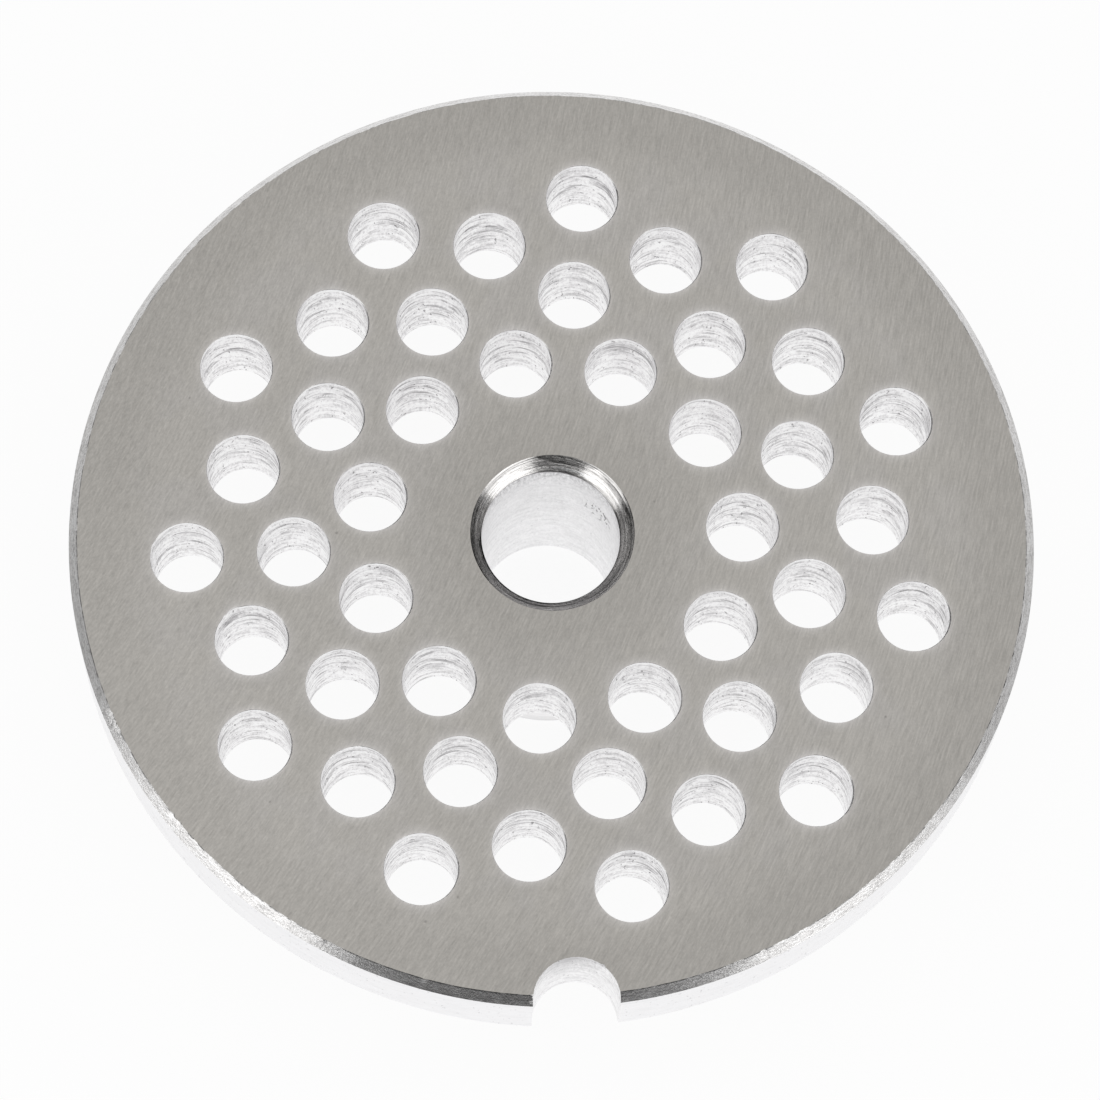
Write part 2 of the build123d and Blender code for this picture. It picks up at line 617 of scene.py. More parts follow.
@dataclass(frozen=True)
class DrilledSteel(Steel):
    """Walls cut by a drill or a reamer: rings that tilt, streaks and specks.

    A scar is a small cluster of dark pits at scar_at, about scar_size across.
    """

    dirt_and_shade: Colour = (0.30, 0.29, 0.30)
    rings: float = 0.42
    ring_scale: float = 1.25
    streaks: float = 0.75
    specks: float = 0.7
    shade: float = 0.0
    shade_depth: float = 0.5
    fuzz: float = 0.8
    top_fuzz: float = 0.0
    band: float = 0.0
    crest_highlight: float = 0.0
    scar_at: Point = (0.0, 0.0, 0.0)
    scar_size: float = 0.0
    tilt: Grain = Grain(0.09, 0.09, start=3.0, detail=1.0, lift=1.5)
    wave: Grain = Grain(0.45, 0.45, 0.3, detail=1.0, lift=0.4)
    ring: Grain = Grain(0.10, 0.10, roughness=0.55)
    line_width: float = 0.055
    thin: Grain = Grain(0.12, 0.12, start=40.0, roughness=0.6)
    thin_finer: float = 2.2
    thin_width: float = 0.065
    thin_strength: float = 0.55
    patch: Grain = Grain(0.5, 0.5, 1.1)
    patch_from: Step = Step(0.38, 0.6)
    streak: Grain = Grain(0.45, 0.45, 2.4, roughness=0.65, lift=0.5)
    line_depth: float = 0.6
    mottle: Grain = Grain(4.0, 4.0, 1.7, roughness=0.75)
    speck: Grain = Grain(3.4, 3.4, 1.6, detail=1.0, roughness=0.6)
    speck_from: Step = Step(0.68, 0.73)
    scar: Grain = Grain(3.2, 3.2, 1.6)
    scar_from: Step = Step(0.56, 0.62)
    scar_core: float = 0.4
    band_low: Step = Step(FACE_HEIGHT - 6.5, FACE_HEIGHT - 4.0)
    band_high: Step = Step(FACE_HEIGHT - 2.4, FACE_HEIGHT - 1.0, 1.0, 0.0)
    crest_rise: Step = Step(FACE_HEIGHT - 0.55, FACE_HEIGHT - 0.30)
    crest_light: float = 0.08
    grime_and_shade_mottle: float = 0.6
    grime_and_shade_even: float = 0.2
    most_soil_and_shade: float = 0.9
    soil_and_shade_roughness: float = 0.2

    def lines(self, r: Recipe, p: Place, t: Signal) -> Signal:
        """Ring lines, where noises that are fine in t cross their middle value.

        Args:
            r: the material's recipe.
            p: where the surface is.
            t: the tilted height.

        Returns:
            Strength of the lines.
        """
        ring = replace(self.ring, c=self.ring_scale)
        thin = replace(self.thin, c=self.ring_scale * self.thin_finer)
        wide_lines = r.contour(r.noise(ring, p.x, p.y, t), self.line_width)
        thin_lines = r.contour(r.noise(thin, p.x, p.y, t), self.thin_width, self.thin_strength)
        return (wide_lines + thin_lines) * r.ramp(r.noise(self.patch, p.x, p.y, t), self.patch_from)

    def pits(self, r: Recipe, p: Place) -> Signal:
        """Dark specks all over, and those of the scar.

        Args:
            r: the material's recipe.
            p: where the surface is.

        Returns:
            Strength of the specks.
        """
        specks = r.ramp(r.noise(self.speck, p.x, p.y, p.z), self.speck_from) * self.specks
        if not self.scar_size:
            return specks
        away = sum((a - b) ** 2 for a, b in zip((p.x, p.y, p.z), self.scar_at)) ** 0.5
        inside = r.ramp(away, Step(self.scar_size * self.scar_core, self.scar_size, 1.0, 0.0))
        return specks + r.ramp(r.noise(self.scar, p.x, p.y, p.z), self.scar_from) * inside

    def paint(self, r: Recipe, p: Place) -> Paint:
        """Marks follow the tilted height t. The mesh's number darkens the drilled grooves with dirt and
        painted shade, and corners with painted shade. The top of the wall is darker as painted shade, and a
        band just under its edge is lighter as a painted highlight.

        Args:
            r: the material's recipe.
            p: where the surface is.

        Returns:
            Colour, roughness and height.
        """
        tilt = r.noise(self.tilt, p.x, p.y) * self.tilt.lift
        t = p.z + tilt + r.noise(self.wave, p.x, p.y, p.z) * self.wave.lift
        line, pits = self.lines(r, p, t), self.pits(r, p)
        streak, mottle = r.noise(self.streak, p.x, p.y, t), r.noise(self.mottle, p.x, p.y, p.z)
        # Painted shade: the top of the wall darker, by near_top times shade.
        near_top = r.ramp(p.z, Step(FACE_HEIGHT - self.shade_depth, FACE_HEIGHT))
        band = r.ramp(p.z, self.band_low) * r.ramp(p.z, self.band_high) * self.band
        # Painted highlight: a light band just under the wall's top edge, clear of dark marks.
        crest_highlight = r.ramp(p.z, self.crest_rise) * self.crest_highlight
        grime = r.attribute("grime") * (mottle * self.grime_and_shade_mottle + self.grime_and_shade_even)
        soil_and_shade = line * self.rings * (band + 1.0) + grime + pits + near_top * self.shade
        soil_and_shade = soil_and_shade * (1.0 - crest_highlight)
        level = (
            (streak - MEAN) * self.streaks
            + 1.0
            + (mottle - MEAN) * (near_top * self.top_fuzz + self.fuzz) * (1.0 - crest_highlight)
            + crest_highlight * self.crest_light
        )
        # The dark colour is dirt and painted shade, mixed in by that share.
        colour = r.blend(r.math("MINIMUM", soil_and_shade, self.most_soil_and_shade), r.tinted(self.tint, level), self.dirt_and_shade)
        height = streak * self.streak.lift - line * self.line_depth - pits
        return Paint(colour, soil_and_shade * self.soil_and_shade_roughness + self.roughness, height)


# ------------------------------------------------------------------- surfaces


@dataclass
class Shell:
    """Patches of one closed surface, welded where their points are the same."""

    points: list[np.ndarray] = field(default_factory=list)
    faces: list[tuple[np.ndarray, Zone]] = field(default_factory=list)
    wear_and_light: dict[str, list[np.ndarray]] = field(default_factory=lambda: {name: [] for name in WEAR_AND_LIGHT_NAMES})
    count: int = 0

    def _keep(self, points: np.ndarray, wear_and_light: dict[str, np.ndarray]) -> int:
        """Stores points.

        Args:
            points: the points, n by 3.
            wear_and_light: wear, and painted light and shade, at the points, by name; none where a name is
                left out.

        Returns:
            The number of the first point.
        """
        first = self.count
        self.points.append(points)
        for name, parts in self.wear_and_light.items():
            parts.append(wear_and_light.get(name, 0.0) + np.zeros(len(points)))
        self.count += len(points)
        return first

    def add_grid(self, grid: np.ndarray, zone: Zone, closed: bool, **wear_and_light: np.ndarray) -> None:
        """Adds a surface that is a function of two parameters.

        Args:
            grid: points, rows by columns by 3.
            zone: the zone of every face.
            closed: whether the last column joins the first.
            wear_and_light: wear, and painted light and shade, at the points, rows by columns.
        """
        rows, columns = grid.shape[:2]
        spread = {name: (value + np.zeros((rows, columns))).ravel() for name, value in wear_and_light.items()}
        first = self._keep(grid.reshape(-1, 3), spread)
        index = first + np.arange(rows * columns).reshape(rows, columns)
        following = np.roll(index, -1, axis=1) if closed else index[:, 1:]
        start = index if closed else index[:, :-1]
        quads = np.stack([start[:-1], following[:-1], following[1:], start[1:]], axis=-1)
        self.faces.append((quads.reshape(-1, 4), zone))

    def add_sheet(self, outline: np.ndarray, holes: list[np.ndarray], zone: Zone) -> None:
        """Adds a flat sheet with holes, as the triangles between its loops.

        A triangle lies in a hole when its corners are all on that hole's loop
        and follow each other the way the loop runs.

        Args:
            outline: points of the outer loop, n by 3, all at one height.
            holes: the same for each hole, anticlockwise seen from above.
            zone: the zone of every face.
        """
        loops = [outline, *holes]
        points = np.concatenate(loops)
        first = self._keep(points, {})
        sizes = np.array([len(loop) for loop in loops])
        starts = np.cumsum(sizes) - sizes
        owner = np.repeat(np.arange(len(loops)), sizes)
        place = np.arange(len(points)) - starts[owner]
        following = starts[owner] + (place + 1) % sizes[owner]
        edges = np.stack([np.arange(len(points)), following], 1)
        flat = [Vector(point) for point in points[:, :2].tolist()]
        _, _, triangles, origin, _, _ = delaunay_2d_cdt(flat, edges.tolist(), [], 1, SHEET_SNAP)
        source = np.array([ids[0] for ids in origin])[np.array([list(t) for t in triangles])]
        loop, turn = owner[source], place[source]
        same = (loop[:, 0] > 0) & (loop[:, 0] == loop[:, 1]) & (loop[:, 0] == loop[:, 2])
        steps = (turn[:, 1:] - turn[:, :1]) % sizes[loop[:, :1]]
        in_hole = same & (steps[:, 0] < steps[:, 1])
        self.faces.append((first + source[~in_hole], zone))

    def mesh(self, name: str) -> bpy.types.Mesh:
        """Welds the patches into one mesh in metres, faces outwards.

        Args:
            name: the mesh's name.

        Returns:
            The mesh, smooth between sharp edges, with its attributes of wear and of painted light and shade.
        """
        points = np.concatenate(self.points)
        keys = np.round(points / WELD_STEP).astype(np.int64)
        _, kept, index = np.unique(keys, axis=0, return_index=True, return_inverse=True)
        index = index.ravel()
        mesh = bpy.data.meshes.new(name)
        faces = [face for part, _ in self.faces for face in index[part].tolist()]
        zones = np.concatenate([np.full(len(part), zone.value) for part, zone in self.faces])
        mesh.from_pydata((points[kept] * MM).tolist(), [], faces)
        mesh.polygons.foreach_set("material_index", zones.astype(np.int32))
        for label, parts in self.wear_and_light.items():
            most = np.zeros(len(kept), np.float32)
            np.maximum.at(most, index, np.concatenate(parts).astype(np.float32))
            mesh.attributes.new(label, "FLOAT", "POINT").data.foreach_set("value", most)
        work = bmesh.new()
        work.from_mesh(mesh)
        bmesh.ops.recalc_face_normals(work, faces=work.faces[:])
        open_edges = sum(1 for edge in work.edges if not edge.is_manifold)
        volume = work.calc_volume(signed=True)
        if volume < 0:
            bmesh.ops.reverse_faces(work, faces=work.faces[:])
        work.to_mesh(mesh)
        work.free()
        mesh.polygons.foreach_set("use_smooth", np.ones(len(mesh.polygons), bool))
        mesh.set_sharp_from_angle(angle=math.radians(SHARP_DEG))
        size = abs(volume) / MM**3
        log.info("%s: %d faces, %d open edges, %.1f mm3", name, len(mesh.polygons), open_edges, size)
        return mesh


def around(radius: np.ndarray | float, angle: np.ndarray, z: np.ndarray | float) -> np.ndarray:
    """Points (r cos a, r sin a, z) about the rim's axis, in the inputs' shape by 3."""
    radius, angle, z = np.broadcast_arrays(radius, angle, z)
    return np.stack([radius * np.cos(angle), radius * np.sin(angle), z], axis=-1)


def full_circle(steps: int) -> np.ndarray:
    """Even angles round a circle, in radians."""
    return np.arange(steps) * FULL_TURN / steps


def arc_share(angle: np.ndarray, middle_deg: float, radius: float, width: float) -> np.ndarray:
    """Arc from a middle angle as a share q of a width: q = arc / width, at most 1."""
    turn = (angle - math.radians(middle_deg) + math.pi) % FULL_TURN - math.pi
    return np.clip(np.abs(turn) * radius / width, 0, 1)


# ------------------------------------------------------------ parts of a plate


@dataclass(frozen=True)
class Nick:
    """A small dent or burr on the rim: a smooth bump in the radius."""

    angle_deg: float
    width: float
    depth: float
    reach: float = 1.0
    burr: float = 0.0
    burr_top: float = 1.2

    def burr_glint(self, angle: np.ndarray, down: np.ndarray, radius: float) -> np.ndarray:
        """Share of bright burr, whose near-white colour is a painted glint: burr * (1 - q^4), with q from
        arc_share, fading down.
        """
        q = arc_share(angle, self.angle_deg, radius, self.width)
        return self.burr * (1 - q**4) * np.clip(self.burr_top - down / self.reach, 0, 1)

    def shift(self, angle: np.ndarray, down: np.ndarray, radius: float) -> np.ndarray:
        """Radius change: -depth * (1 - q^2)^2, with q from arc_share, fading down."""
        q = arc_share(angle, self.angle_deg, radius, self.width)
        return -self.depth * (1 - q * q) ** 2 * np.clip(1 - down / self.reach, 0, 1)


@dataclass(frozen=True)
class KeyNotch:
    """The half-round notch that takes the head's key."""

    radius: float = 3.63
    axis_y: float = -40.64
    chip_deg: float = 50.5
    chip: float = 0.10
    chip_wide: float = 0.30
    chip_deep: float = 0.5
    ragged: float = 0.018
    ragged_fine: float = 71.0
    ragged_start: float = 0.5
    ragged_coarse: float = 29.0
    painted_shade_deg: float = 100.0
    painted_shade_wide_deg: float = 55.0
    painted_shade_deep: float = 5.0
    steps: int = 130

    def wall(self, rim: np.ndarray) -> tuple[np.ndarray, np.ndarray]:
        """Notch wall: the notch circle carried down the rim's rows.

        The radius grows by chip * (1 - q^2)^2 at one chip in its top edge, plus
        a ragged product of two sines, and both fade out with depth.

        Args:
            rim: the rim's grid, whose end columns the wall meets.

        Returns:
            The wall's grid, from the rim's last column to its first, and the painted shade on it, which is
            most near the top, round the angle given for it, and is also darker at the chip.
        """
        start, end = rim[:, -1], rim[:, 0]
        first = np.arctan2(start[:, 1] - self.axis_y, start[:, 0]) % FULL_TURN
        last = np.arctan2(end[:, 1] - self.axis_y, end[:, 0])
        share = np.linspace(0, 1, self.steps)[None, :]
        angle = first[:, None] + share * (last - first)[:, None]
        below = FACE_HEIGHT - start[:, 2:3]
        depth = np.clip(below / self.chip_deep, 0, 1)
        q = np.clip(np.abs(angle - math.radians(self.chip_deg)) * self.radius / self.chip_wide, 0, 1)
        ragged = np.sin(angle * self.ragged_fine + self.ragged_start) * np.sin(angle * self.ragged_coarse)
        grown = self.chip * (1 - q * q) ** 2 + self.ragged * ragged
        grid = around(self.radius + grown * (1 - depth), angle, start[:, 2:3])
        grid[..., 1] += self.axis_y
        grid[:, 0], grid[:, -1] = start, end
        # Painted shade: the wall darker near its top round one angle, and darker at the chip.
        aside = np.abs(np.degrees(angle) - self.painted_shade_deg) / self.painted_shade_wide_deg
        soil_and_shade = np.clip(1 - aside, 0, 1) * np.clip(1 - below / self.painted_shade_deep, 0, 1)
        return grid, np.maximum(soil_and_shade, (1 - q * q) * (1 - depth))


@dataclass(frozen=True)
class Disc:
    """The disc: rim with its chamfers, key notch, cutting face and back."""

    radius: float = 41.0
    chamfer_width: float = 0.76
    chamfer_height: float = 0.88
    front_rows: int = 8
    wall_rows: int = 3
    rear_rows: int = 4
    steps_round: int = 1100
    nick_steps: int = 15
    share_digits: int = 6
    wobble: float = 0.008
    waves: tuple[tuple[float, float, float], ...] = ((1.0, 9, 0.4), (0.8, 31, 2.0), (0.7, 83, 1.1))
    least_wobble: float = 0.15
    notch: KeyNotch = KeyNotch()
    nicks: tuple[Nick, ...] = (
        Nick(-159.6, 0.26, -0.05, 0.5),
        Nick(-158.9, 0.24, 0.05, 0.6),
        Nick(-158.2, 1.35, 0.0, 0.75, 1.0),
        Nick(-157.6, 0.24, -0.06, 0.5),
        Nick(-156.7, 0.22, 0.05, 0.5),
        Nick(-156.2, 0.22, -0.05, 0.5),
        Nick(-144.5, 0.28, 0.10, 0.4),
        Nick(-143.1, 0.30, 0.09, 0.4),
        Nick(-142.6, 0.50, 0.0, 0.5, 0.7),
        Nick(-130.2, 0.25, 0.05, 0.4),
        Nick(-121.0, 0.22, -0.07, 0.35, 0.6),
        Nick(-108.0, 0.40, -0.04, 0.4),
        Nick(-95.2, 0.30, 0.07, 0.8, 1.0),
        Nick(-67.0, 0.16, 0.05, 1.2, 0.8),
        Nick(-35.1, 0.45, 0.05, 0.4),
        Nick(-25.2, 0.60, 0.04, 0.4),
    )

    def profile(self) -> np.ndarray:
        """Rim profile from the cutting face down.

        Returns:
            Rows of radius and height.
        """
        inner = self.radius - self.chamfer_width
        t = np.linspace(0, 1, self.front_rows)
        front = np.stack([inner + t * self.chamfer_width, FACE_HEIGHT - t * self.chamfer_height], 1)
        high, low = FACE_HEIGHT - self.chamfer_height, BACK_HEIGHT + self.chamfer_height
        heights = np.linspace(high, low, self.wall_rows + 2)[1:-1]
        wall = np.stack([np.full(self.wall_rows, self.radius), heights], 1)
        b = np.linspace(0, 1, self.rear_rows)
        rear = np.stack([self.radius - b * self.chamfer_width, low - b * self.chamfer_height], 1)
        return np.concatenate([front, wall, rear])

    def rim_share(self) -> np.ndarray:
        """Columns of the rim: even, and closer at each nick.

        Returns:
            Share of the way round of each column, from 0 to 1.
        """
        near = np.linspace(-1, 1, self.nick_steps) / (FULL_TURN * self.radius)
        close = [((nick.angle_deg + 90.0) % 360.0) / 360.0 + near * nick.width for nick in self.nicks]
        shares = np.concatenate([np.linspace(0, 1, self.steps_round), *close])
        shares = np.unique(np.round(shares, self.share_digits))
        return shares[(shares >= 0) & (shares <= 1)]

    def rim_grid(self) -> tuple[np.ndarray, np.ndarray]:
        """Rim surface: the profile carried round, from notch edge to notch edge.

        At a row of radius r the notch circle, of radius n about (0, c), cuts
        the rim where y = (r^2 + c^2 - n^2) / 2c. Column share q then stands at
        that angle plus q of the way round.

        Returns:
            Points, rows by columns by 3, and how burred they are, which also sets the burrs' painted glint.
        """
        rows, c = self.profile(), self.notch.axis_y
        r, z = rows[:, :1], rows[:, 1:]
        y = (r**2 + c**2 - self.notch.radius**2) / (2 * c)
        half = np.arccos(np.clip(-y / r, -1, 1))
        angle = -math.pi / 2 + half + self.rim_share() * (FULL_TURN - 2 * half)
        down = np.clip((FACE_HEIGHT - z) / self.chamfer_height, 0, None) + 0 * angle
        edge = np.clip(1 - down, self.least_wobble, 1) * (z > BACK_HEIGHT + self.chamfer_height)
        waves = sum(height * np.sin(count * angle + start) for height, count, start in self.waves)
        nicks = sum(nick.shift(angle, down, self.radius) for nick in self.nicks)
        burred = np.clip(sum(nick.burr_glint(angle, down, self.radius) for nick in self.nicks), 0, 1)
        return around(r + self.wobble * waves * edge + nicks, angle, z), burred

    def build(self, shell: Shell, front_holes: list[np.ndarray], back_holes: list[np.ndarray]) -> None:
        """Adds the disc's surfaces.

        Args:
            shell: what they are added to.
            front_holes: loops of the holes in the cutting face.
            back_holes: loops of the holes in the back.
        """
        rim, burred = self.rim_grid()
        notch, soil_and_shade = self.notch.wall(rim)
        front, rear = self.front_rows, self.front_rows + self.wall_rows
        shell.add_grid(rim[:front], Zone.RIM_CHAMFER, False, burred=burred[:front])
        shell.add_grid(rim[front - 1 : rear + 1], Zone.RIM_WALL, False)
        shell.add_grid(rim[rear:], Zone.RIM_CHAMFER, False)
        shell.add_grid(notch, Zone.NOTCH_WALL, False, grime=soil_and_shade)
        for row, holes, zone in ((0, front_holes, Zone.CUTTING_FACE), (-1, back_holes, Zone.BACK_FACE)):
            shell.add_sheet(np.concatenate([rim[row], notch[row, 1:-1]]), holes, zone)


@dataclass(frozen=True)
class EdgeChip:
    """A place where the edge of one feed hole has broken away."""

    hole: int
    angle_deg: float
    width: float
    size: float

    def push(self, angle: np.ndarray) -> np.ndarray:
        """Push outwards: size * (1 - q^2), with q from arc_share."""
        q = arc_share(angle, self.angle_deg, FEED_HOLE_RADIUS, self.width)
        return self.size * (1 - q * q)


@dataclass(frozen=True)
class FeedHoles:
    """The feed holes: four rings, each turned half a pitch from the last."""

    ring_radii: tuple[float, ...] = (16.035, 22.105, 27.125, 31.125)
    per_ring: int = 11
    first_angle_deg: float = 0.9
    shift_x: float = 0.11
    shift_y: float = -0.45
    steps_round: int = 72
    edge_break: float = 0.03
    edge_swing: tuple[float, float] = (0.7, 1.3)
    edge_lean: float = 2.6
    lean_deg: float = -8.0
    ragged: float = 0.012
    ragged_fine: float = 13
    ragged_coarse: float = 7
    chips: tuple[EdgeChip, ...] = (
        EdgeChip(28, 118.0, 0.75, 0.16),
        EdgeChip(28, 135.0, 0.30, 0.10),
        EdgeChip(38, 158.0, 0.45, 0.07),
        EdgeChip(27, 134.0, 0.25, 0.08),
        EdgeChip(16, 47.5, 0.25, 0.06),
    )
    chip_depth_share: float = 1.6
    groove: float = 0.03
    first_row: int = 3
    second_row: int = 6
    groove_swing: tuple[float, float] = (0.2, 1.3)
    first_groove: tuple[float, float] = (1.4, 2.9)
    next_groove: tuple[float, float] = (0.9, 3.0)
    first_half: tuple[float, float] = (0.22, 0.20)
    second_half: float = 0.18
    second_depth: float = 0.7
    wall_gap: float = 0.008
    groove_gap: float = 0.002
    back_break: float = 0.07
    groove_tilt: tuple[float, float] = (0.05, 0.3)
    first_soil_and_shade: tuple[float, float] = (0.3, 1.0)
    second_soil_and_shade: tuple[float, float] = (0.1, 0.8)
    collar_widths: tuple[float, ...] = (0.9, 0.55, 0.3, 0.12, 0.0)
    collar_polish_and_sheen: tuple[float, ...] = (0.0, 0.15, 0.33, 0.6, 1.0)
    sheen_lean: float = 0.35

    def centres(self) -> np.ndarray:
        """Centres of the holes: ring radius at even angles, odd rings half a pitch on.

        Returns:
            The centres, n by 2.
        """
        rings = np.repeat(np.array(self.ring_radii), self.per_ring)
        turn = np.repeat(np.arange(len(self.ring_radii)) % 2 * 0.5, self.per_ring)
        place = np.tile(np.arange(self.per_ring), len(self.ring_radii))
        angle = math.radians(self.first_angle_deg) + (place + turn) * FULL_TURN / self.per_ring
        return np.stack([rings * np.cos(angle) + self.shift_x, rings * np.sin(angle) + self.shift_y], 1)

    def edge_ragged(self, angle: np.ndarray, count: int, chance: np.random.Generator) -> np.ndarray:
        """Small irregularity of each edge: ragged * sin(13 a + b) * sin(7 a + c)."""
        b, c = chance.uniform(0, PHASES, (2, count, 1))
        return self.ragged * np.sin(self.ragged_fine * angle + b) * np.sin(self.ragged_coarse * angle + c)

    def walls(self) -> tuple[np.ndarray, np.ndarray]:
        """Walls of all holes, and the dirt and painted shade in their grooves.

        A wall is r + dr(v) at depth d(v), carried round the hole. Two of its
        depths are grooves, which tilt: d + k cos(a - a0), and differ from hole
        to hole.

        Its rows are the edge and its foot, three rows of each groove, and two
        at the back.

        Returns:
            Points, holes by rows by columns by 3, and the grooves' dirt and painted shade with that shape.
        """
        chance = np.random.default_rng(SEED)
        centres = self.centres()
        count, thick = len(centres), FACE_HEIGHT - BACK_HEIGHT
        angle = full_circle(self.steps_round)
        flat = np.zeros((count, 1))
        brk = self.edge_break * chance.uniform(*self.edge_swing, (count, 1))
        first = chance.uniform(*self.first_groove, (count, 1))
        second = first + chance.uniform(*self.next_groove, (count, 1))
        above, under = self.first_half
        upper = [first - above, first, first + under]
        lower = [second - self.second_half, second, second + self.second_half]
        foot = flat + thick
        depths = np.concatenate([flat, brk, *upper, *lower, foot - self.back_break, foot], 1)
        deep = self.groove * chance.uniform(*self.groove_swing, (count, 2))
        gap = flat + self.wall_gap
        cuts = [gap, deep[:, :1], flat + self.groove_gap, flat, deep[:, 1:] * self.second_depth, flat]
        wider = np.concatenate([brk, gap, *cuts, flat, flat + self.back_break], 1)
        tilting = np.repeat([0.0, 1.0, 0.0], [2, len(upper + lower), 2])[None, :, None]
        tilt = chance.uniform(*self.groove_tilt, (count, 1, 1))
        tilt = tilt * np.cos(angle - chance.uniform(0, PHASES, (count, 1, 1)))
        heavy = 1 + self.edge_lean * np.clip(np.cos(angle - math.radians(self.lean_deg)), 0, 1) ** 2
        down = depths[:, :, None] + tilting * tilt
        down[:, 1] *= heavy
        reach = FEED_HOLE_RADIUS + wider[:, :, None] + 0 * down
        reach[:, 0] = FEED_HOLE_RADIUS + brk * heavy + self.edge_ragged(angle, count, chance)
        for chip in self.chips:
            push = chip.push(angle)
            reach[chip.hole, :2] += push
            down[chip.hole, 1] += push * self.chip_depth_share
        x = centres[:, None, None, 0] + reach * np.cos(angle)
        y = centres[:, None, None, 1] + reach * np.sin(angle)
        # Dirt and painted shade in one or the other groove of each hole.
        grime = np.zeros_like(down)
        fade = 0.5 + 0.5 * np.sin(angle * 2 + chance.uniform(0, PHASES, (count, 1)))
        grime[:, self.first_row] = chance.uniform(*self.first_soil_and_shade, (count, 1)) * fade
        grime[:, self.second_row] = chance.uniform(*self.second_soil_and_shade, (count, 1)) * (1 - fade)
        return np.stack([x, y, FACE_HEIGHT - down], axis=-1), grime

    def collars(self, edges: np.ndarray) -> np.ndarray:
        """Flat collars round the holes: each edge point plus w times (cos a, sin a, 0)."""
        outwards = around(1.0, full_circle(self.steps_round), 0.0)
        return edges[:, None] + np.array(self.collar_widths)[:, None, None] * outwards

    def build(self, shell: Shell) -> tuple[list[np.ndarray], list[np.ndarray]]:
        """Adds the walls and the collars.

        Args:
            shell: what they are added to.

        Returns:
            The collars' outer loops, and the holes' loops in the back.
        """
        walls, grime = self.walls()
        for wall, soil_and_shade in zip(walls, grime):
            shell.add_grid(wall[:2], Zone.HOLE_EDGE, True)
            shell.add_grid(wall[1:], Zone.HOLE_WALL, True, grime=soil_and_shade[1:])
        collars = self.collars(walls[:, 0])
        # Polish and painted highlight on each collar, most at the hole's edge, and by cos 2a most above and
        # below the hole.
        lean = 1 - self.sheen_lean * np.cos(2 * full_circle(self.steps_round))
        rubbed = np.array(self.collar_polish_and_sheen)[:, None] * lean
        for collar in collars:
            shell.add_grid(collar, Zone.CUTTING_FACE, True, rubbed=rubbed)
        return list(collars[:, 0]), list(walls[:, -1])


@dataclass(frozen=True)
class BoreAndHub:
    """The bore with its countersink, and the hub that it runs through."""

    bore_radius: float = 5.9
    shift_x: float = -0.13
    shift_y: float = -0.05
    mouth_radius: float = 6.98
    end_chamfer: float = 0.5
    hub_radius: float = 10.4
    hub_chamfer: float = 0.5
    root_fillet: float = 1.0
    corner_grime: float = 0.5
    steps_round: int = 216
    cone_rows: int = 9
    bore_rows: int = 14
    end_rows: int = 5
    hub_rows: int = 8
    fillet_rows: int = 9

    def bore_reach(self, angle: np.ndarray, radius: float) -> np.ndarray:
        """Rim's axis to shifted circle: e.s + sqrt(r^2 - s.s + (e.s)^2), direction e, shift s."""
        along = self.shift_x * np.cos(angle) + self.shift_y * np.sin(angle)
        return along + np.sqrt(radius**2 - self.shift_x**2 - self.shift_y**2 + along**2)

    def build(self, shell: Shell) -> tuple[np.ndarray, np.ndarray]:
        """Adds countersink, bore, hub end, hub wall and root fillet.

        Each is a row of points carried straight to the next row, apart from
        the bore, whose rows are closer at its ends, and the round fillet.

        Args:
            shell: what they are added to.

        Returns:
            The loop of the countersink's mouth, and the loop of the fillet.
        """
        angle = full_circle(self.steps_round)
        wall = self.bore_reach(angle, self.bore_radius)
        share = np.linspace(0, 1, self.cone_rows)[:, None]
        cone_reach = self.mouth_radius + share * (wall - self.mouth_radius)
        cone = around(cone_reach, angle, FACE_HEIGHT - (self.mouth_radius - cone_reach))
        drop = (1 - np.cos(np.linspace(0, math.pi, self.bore_rows)))[:, None] / 2
        foot = cone[-1, :, 2]
        bore = around(wall, angle, foot + drop * (self.end_chamfer - foot))
        bore[0] = cone[-1]
        # Painted shade: a thin dark line where the countersink meets the bore.
        soil_and_shade = np.zeros((self.bore_rows, 1))
        soil_and_shade[0] = 1.0
        mouth = around(self.bore_reach(angle, self.bore_radius + self.end_chamfer), angle, 0.0)
        outer = around(self.hub_radius - self.hub_chamfer, angle, 0.0)
        corner = around(self.hub_radius, angle, self.hub_chamfer)
        turn = np.linspace(0, math.pi / 2, self.fillet_rows)[:, None]
        fillet_reach = self.hub_radius + self.root_fillet * (1 - np.cos(turn))
        fillet = around(fillet_reach, angle, BACK_HEIGHT - self.root_fillet * (1 - np.sin(turn)))
        end_share = np.linspace(0, 1, self.end_rows)[:, None, None]
        hub_share = np.linspace(0, 1, self.hub_rows)[:, None, None]
        hub_wall = corner + hub_share * (fillet[0] - corner)
        hub_wall[-1] = fillet[0]
        shell.add_grid(cone, Zone.COUNTERSINK, True)
        shell.add_grid(bore, Zone.BORE_WALL, True, grime=soil_and_shade)
        shell.add_grid(np.stack([bore[-1], mouth]), Zone.HUB, True)
        shell.add_grid(mouth + end_share * (outer - mouth), Zone.HUB, True)
        shell.add_grid(np.stack([outer, corner]), Zone.HUB, True, grime=np.full((2, 1), self.corner_grime))
        shell.add_grid(hub_wall, Zone.HUB, True)
        shell.add_grid(fillet, Zone.HUB, True)
        return cone[0], fillet[-1]


